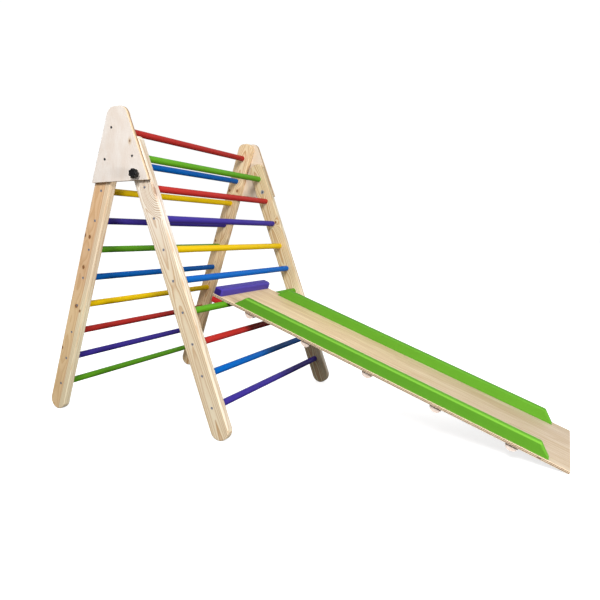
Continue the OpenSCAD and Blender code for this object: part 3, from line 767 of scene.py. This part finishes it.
def slab(bm, outline, w0, w1, at, edge0, edge1, bores=(), support=0.0004, seg=28):
    """A board with this outline from w0 to w1. edge0 and edge1 are the profiles of its edges at
    the two flats, and a loop support further in keeps the flats flat. A bore is
    (u, v, [(radius, w), ...]) and goes from one flat to the other, or ends inside."""
    def ring(inset, w, dw):
        return [bm.verts.new(at(u + iu * inset * s, v + iv * inset * s, w + dw * s))
                for (u, v, iu, iv, s) in outline]

    rings = [ring(edge0[0][0] + support, w0, 0.0)]
    rings += [ring(i, w0, d) for i, d in edge0]
    rings += [ring(i, w1, -d) for i, d in reversed(edge1)]
    rings.append(ring(edge1[0][0] + support, w1, 0.0))
    for a, b in zip(rings, rings[1:]):
        bridge(bm, a, b)
    loops = {w0: [rings[0]], w1: [rings[-1]]}
    angles = [2 * math.pi * i / seg for i in range(seg)]
    for (u, v, profile) in bores:
        prev = None
        for k, (r, w) in enumerate(profile):
            loop = [bm.verts.new(at(u + r * math.cos(a), v + r * math.sin(a), w))
                    for a in angles]
            if prev:
                bridge(bm, prev, loop)
            if k in (0, len(profile) - 1):
                if w in loops:
                    loops[w].append(loop)
                else:
                    bm.faces.new(loop)
            prev = loop
    for group in loops.values():
        edges = []
        for loop in group:
            for pair in zip(loop, loop[1:] + loop[:1]):
                edges.append(bm.edges.get(pair) or bm.edges.new(pair))
        bmesh.ops.triangle_fill(bm, edges=edges, use_beauty=True)


def side_name(sign):
    return "left" if sign > 0 else "right"


def rail(which, sign):
    """A rail with all its long edges, its foot and its top eased, and a bore at every rung."""
    h = RAIL_W / 2
    if which == "front":
        place, out = FRONT, FRONT_OUT
        top_l = top_r = FRONT_TOP
        foot = FRONT_FOOT
    else:
        place, out = BACK, BACK_OUT
        top_l, top_r = ((RISE - BDZ + math.sin(LEAN) * x) / math.cos(LEAN) for x in (-h, h))
        foot = BACK_FOOT
    inner = out - RAIL_T
    bottom = inner + SOCKET_DEPTH
    outline = rounded([(-h, top_l), (h, top_r), (h, -foot - h), (-h, -foot - h)],
                      [TOP_R, TOP_R, h, h], RAIL_EASE + 0.001)
    bores = []
    rung = RUNG_R + HOLE_CLEAR
    socket = [(SCREW_R, bottom), (rung, bottom), (rung, inner)]
    for k in range(RUNGS[which]):
        if k < UNDER_PLATE[which]:
            head = [(SCREW_R, out)]
        else:
            head = [(HEAD_R, out), (SCREW_R, out - CONE)]
        bores.append((0.0, -k * PITCH, head + socket))
    if which == "front":
        stud, nut = STUD_R + HOLE_CLEAR, NUT_R + HOLE_CLEAR
        nut_end = inner + NUT_L + END_GAP
        bores.append((0.0, -KNOB_DROP,
                      [(stud, out), (stud, nut_end), (nut, nut_end), (nut, inner)]))
    bm = bmesh.new()
    slab(bm, outline, inner, out, lambda u, v, w: place.at(u, sign * w, v), eased(RAIL_EASE),
         eased(RAIL_EASE), bores)
    node = "%s_%s_rail" % (which, side_name(sign))
    finish_piece(bm, node + "_board", which + "_frame", MAT[node], node)


def plate(sign, ease=0.0009, corner=0.002):
    """A hinge plate with eased edges, its three screw holes and the hole of the knob's stud."""
    s, c = math.sin(LEAN), math.cos(LEAN)

    def left(z):
        return BDX + (s * (z - BDZ) - RAIL_W / 2) / c

    def right(z):
        return (RAIL_W / 2 - s * z) / c

    corners = [(left(RISE) + TAPER, RISE), (left(-DROP), -DROP), (right(-DROP), -DROP),
               (right(RISE) - TAPER, RISE)]
    outline = rounded(corners, [PLATE_R, corner, corner, PLATE_R], ease + 0.0006)
    spots = [(0.0, 0.0), (BDX, BDZ), (BDX - PITCH * s, BDZ - PITCH * c)]
    bores = [(u, v, [(HEAD_R, PLATE_OUT), (PLATE_SCREW_R, PLATE_OUT - CONE),
                     (PLATE_SCREW_R, PLATE_Y)]) for u, v in spots]
    stud = STUD_R + PLATE_CLEAR
    bores.append((KNOB_DROP * s, -KNOB_DROP * c, [(stud, PLATE_OUT), (stud, PLATE_Y)]))
    bm = bmesh.new()
    slab(bm, outline, PLATE_Y, PLATE_OUT, lambda u, v, w: PLATE.at(u, sign * w, v),
         eased(ease), eased(ease), bores)
    node = side_name(sign) + "_hinge_plate"
    finish_piece(bm, node + "_board", "back_frame", MAT[node], node)


def ramp_board(ease=0.0008, corner=0.003):
    """The plywood sheet, bored for the screws of the side rails and of the hook block."""
    x0, x1, y = -OVER, BOARD_L - OVER, BOARD_W / 2
    outline = rounded([(x0, -y), (x1, -y), (x1, y), (x0, y)], [corner] * 4, ease + 0.0005)
    bores = []
    step = (SIDE_LAST - SIDE_FIRST) / (SIDE_SCREWS - 1)
    for sign in (-1, 1):
        for i in range(SIDE_SCREWS):
            bores.append((SIDE_FIRST + step * i, sign * (SIDE_IN + SIDE_T / 2),
                          [(RAMP_SCREW_R, BOARD_TOP), (RAMP_SCREW_R, REST + RAMP_CONE),
                           (RAMP_HEAD_R, REST)]))
    for u, v in HOOK_SPOTS:
        bores.append((u, v, [(RAMP_SCREW_R, BOARD_TOP), (RAMP_SCREW_R, REST)]))
    bm = bmesh.new()
    slab(bm, outline, REST, BOARD_TOP, RAMP.at, eased(ease), eased(ease), bores)
    finish_piece(bm, "ramp_board_sheet", "ramp", MAT["ramp_board"],
                 "ramp_board")


def ramp_side(sign, ease=0.0048, tip=0.001, shoulder=0.007, fade=0.020):
    """A side rail: sloping ends from a sharp tip to a rounded shoulder, and round edges along
    its top that fade out towards the thin tips."""
    z0, z1 = BOARD_TOP, BOARD_TOP + SIDE_H
    base = rounded([(SIDE_X0, z0), (SIDE_X1, z0), (SIDE_X1 - SIDE_H, z1), (SIDE_X0 + SIDE_H, z1)],
                   [tip, tip, shoulder, shoulder], ease + 0.0007)
    dense = []
    for i, p in enumerate(base):
        q = base[(i + 1) % len(base)]
        length = math.hypot(q[0] - p[0], q[1] - p[1])
        # only the sloping ends need more points
        steps = 8 if 0.02 < length < 0.1 else 1
        for k in range(steps):
            t = k / steps
            dense.append(tuple(a + (b - a) * t for a, b in zip(p, q)))
    outline = [(u, v, iu, iv, max(0.10, min(1.0, (v - z0) / fade))) for u, v, iu, iv, _ in dense]
    bm = bmesh.new()
    slab(bm, outline, SIDE_IN, SIDE_IN + SIDE_T, lambda u, v, w: RAMP.at(u, sign * w, v),
         eased(ease, 6), eased(ease, 6))
    node = "ramp_%s_side_rail" % side_name(sign)
    finish_piece(bm, node + "_bar", "ramp", MAT["ramp_green"], node)


def ramp_block(name, node, mat, width, z0, z1, chamfer, up, profile):
    """A bar along Y at the board's upper end, bored for the hook screws. Its ends and its free
    edges are chamfered: those at z1 if up, else those at z0."""
    x0, x1, y = -OVER, width - OVER, BLOCK_L / 2
    corners = [(x0, -y), (x1, -y), (x1, y), (x0, y)]
    cut = []
    for i, p in enumerate(corners):
        p = Vector(p)
        for other in (corners[i - 1], corners[(i + 1) % 4]):
            cut.append(p + (Vector(other) - p).normalized() * chamfer)
    outline = rounded(cut, [0.0008] * 8, chamfer, seg=8)
    small, big = eased(0.0004, 2), chamfered(chamfer)
    bm = bmesh.new()
    slab(bm, outline, z0, z1, RAMP.at, small if up else big, big if up else small,
         [(u, v, profile) for u, v in HOOK_SPOTS])
    finish_piece(bm, name, "ramp", MAT[mat], node)


def lobed(phi):
    """The star outline's radius at this angle, as a share of the knob's: round notches between
    the lobes, with softened tips."""
    delta = ((phi * LOBES / (2 * math.pi)) % 1.0 - 0.5) * 2 * math.pi / LOBES
    q = NOTCH_R ** 2 - (NOTCH_AT * math.sin(delta)) ** 2
    notch = NOTCH_AT * math.cos(delta) - math.sqrt(q) if q > 0 else KNOB_R * 2
    soft = 0.0009
    h = max(soft - abs(KNOB_R - notch), 0.0) / soft
    return (min(KNOB_R, notch) - h * h * soft / 4) / KNOB_R


def knob(sign, seg=168):
    """A star knob: a hub, seven round lobes and a softly domed face."""
    # radius, height above the plate, and how much of the star outline it takes
    bore, hub, tip = STUD_R + PLATE_CLEAR, 0.0072, 0.0245
    rows = [(bore, 0.0160, 0), (bore, 0.0003, 0), (0.0069, 0.0003, 0), (hub, 0.0006, 0),
            (hub, 0.0080, 0), (0.0078, 0.0093, 0.15), (0.0100, 0.0100, 0.5),
            (0.0133, 0.0104, 1), (0.0143, 0.0110, 1), (0.0149, 0.0120, 1), (KNOB_R, 0.0134, 1),
            (KNOB_R, 0.0206, 1), (0.0148, 0.0222, 1), (0.0142, 0.0235, 1),
            (0.0132, 0.0243, 0.95), (0.0117, 0.0246, 0.75), (0.0090, 0.0246, 0.30),
            (0.0082, 0.0242, 0.1), (0.0060, 0.0243, 0)]
    angles = [2 * math.pi * i / seg for i in range(seg)]
    star = [lobed(phi + math.pi / LOBES) for phi in angles]
    bm = bmesh.new()

    def point(x, z, height):
        return FRONT.at(x, sign * (PLATE_OUT + height), z - KNOB_DROP)

    rings = []
    for radius, height, share in rows:
        reach = [radius * (1 - share + share * s) for s in star]
        rings.append([bm.verts.new(point(r * math.cos(phi), r * math.sin(phi), height))
                      for r, phi in zip(reach, angles)])
    for a, b in zip(rings, rings[1:]):
        bridge(bm, a, b)
    bm.faces.new(rings[0])
    top = bm.verts.new(point(0, 0, tip))
    for i in range(seg):
        bm.faces.new((rings[-1][i], rings[-1][(i + 1) % seg], top))
    side = side_name(sign)
    finish_piece(bm, side + "_star_knob_grip", side + "_knob", MAT["knob"],
                 side + "_star_knob", sharp=60)


for sign in (1, -1):
    rail("front", sign)
    rail("back", sign)
    plate(sign)
    ramp_side(sign)
    knob(sign)
ramp_board()
ramp_block("ramp_stop_bar_block", "ramp_stop_bar", "bar_purple", BAR_W,
           BOARD_TOP, BOARD_TOP + BAR_H, BAR_CHAMFER, True,
           [(RAMP_SCREW_R, BOARD_TOP), (RAMP_SCREW_R, HOOK_LOW + HOOK_SCREW_L + END_GAP)])
ramp_block("ramp_hook_block_bar", "ramp_hook_block", "hook_red", HOOK_W,
           HOOK_LOW, REST, HOOK_CHAMFER, False,
           [(RAMP_HEAD_R, HOOK_LOW), (RAMP_SCREW_R, HOOK_LOW + RAMP_CONE), (RAMP_SCREW_R, REST)])


# ---------------------------------------------------------------------------------------------
# Floor, light and camera
# ---------------------------------------------------------------------------------------------
FLOOR_R, FLOOR_DROP, FLOOR_GLOW = 40.0, 0.0004, 0.74
BACKDROP = (-0.445, 0.895, 0.0)
WALL, ROOM, CEILING, BELOW = 1.03, 0.56, 0.46, 0.06
SENSOR = 36.0
LENS = SENSOR * 0.8891
CAMERA_AT = (HINGE.x + 1.19394, -1.64975, 0.61097)
CAMERA_DOWN, CAMERA_TURN = math.radians(6.808), math.radians(26.431)


def floor():
    """A pale floor that glows a little, so that it stays white up to its horizon."""
    g = Graph("studio_floor")
    tc = g.nt.nodes.new("ShaderNodeTexCoord")
    n = g.noise(tc.outputs["Object"], 3.0, 0.6, scale=3.0)
    col = g.mix(n, (0.80, 0.80, 0.80), (0.83, 0.83, 0.83))
    g.set(color=col, rough=g.add(0.6, g.mul(n, 0.1)), spec=0.1)
    g.put(g.bsdf.inputs["Emission Color"], (1.0, 1.0, 1.0, 1.0))
    g.put(g.bsdf.inputs["Emission Strength"], FLOOR_GLOW)
    bm = bmesh.new()
    bmesh.ops.create_circle(bm, cap_ends=True, segments=96, radius=FLOOR_R)
    me = bpy.data.meshes.new("studio_floor")
    bm.to_mesh(me)
    bm.free()
    me.materials.append(g.mat)
    o = bpy.data.objects.new("studio_floor", me)
    o.location = (0, 0, -FLOOR_DROP)
    o.visible_diffuse = False
    o.visible_glossy = False
    bpy.context.scene.collection.objects.link(o)


def lamp(name, loc, target, size, power):
    data = bpy.data.lights.new(name, "AREA")
    data.shape = "SQUARE"
    data.size = size
    data.energy = power
    o = bpy.data.objects.new(name, data)
    o.location = loc
    o.rotation_euler = (Vector(target) - Vector(loc)).to_track_quat("-Z", "Y").to_euler()
    bpy.context.scene.collection.objects.link(o)


def room_light():
    """A white wall behind the object, a room on the camera's side, a bright ceiling, and
    little light from below the horizon."""
    world = bpy.data.worlds.new("studio")
    world.use_nodes = True
    nt = world.node_tree

    def blend(value, lo, hi, to_lo, to_hi):
        n = nt.nodes.new("ShaderNodeMapRange")
        n.interpolation_type = "SMOOTHSTEP"
        nt.links.new(value, n.inputs["Value"])
        n.inputs["From Min"].default_value = lo
        n.inputs["From Max"].default_value = hi
        for name, v in (("To Min", to_lo), ("To Max", to_hi)):
            if isinstance(v, float):
                n.inputs[name].default_value = v
            else:
                nt.links.new(v, n.inputs[name])
        return n.outputs[0]

    tc = nt.nodes.new("ShaderNodeTexCoord")
    split = nt.nodes.new("ShaderNodeSeparateXYZ")
    nt.links.new(tc.outputs["Generated"], split.inputs[0])
    up = split.outputs[2]
    dot = nt.nodes.new("ShaderNodeVectorMath")
    dot.operation = "DOT_PRODUCT"
    nt.links.new(tc.outputs["Generated"], dot.inputs[0])
    dot.inputs[1].default_value = BACKDROP
    room = blend(up, -0.05, 0.42, BELOW, ROOM)
    level = blend(dot.outputs["Value"], -0.1, 0.55, room, WALL)
    level = blend(up, 0.40, 0.56, level, CEILING)
    level = blend(up, -0.22, -0.06, BELOW, level)
    bg = nt.nodes["Background"]
    bg.inputs[0].default_value = (1.0, 1.0, 1.0, 1.0)
    nt.links.new(level, bg.inputs[1])
    bpy.context.scene.world = world


def camera():
    data = bpy.data.cameras.new("camera")
    data.sensor_width = SENSOR
    data.lens = LENS
    o = bpy.data.objects.new("camera", data)
    o.location = CAMERA_AT
    o.rotation_euler = (math.pi / 2 - CAMERA_DOWN, 0, CAMERA_TURN)
    bpy.context.scene.collection.objects.link(o)
    bpy.context.scene.camera = o
    bpy.context.scene.view_settings.view_transform = "Standard"


floor()
room_light()
lamp("key", (2.4, -1.09, 0.50), target=(-0.15, 0, 0.42), size=0.42, power=46)
lamp("front", (0.75, -2.3, 1.95), target=(-0.35, 0, 0.6), size=0.8, power=60)
camera()
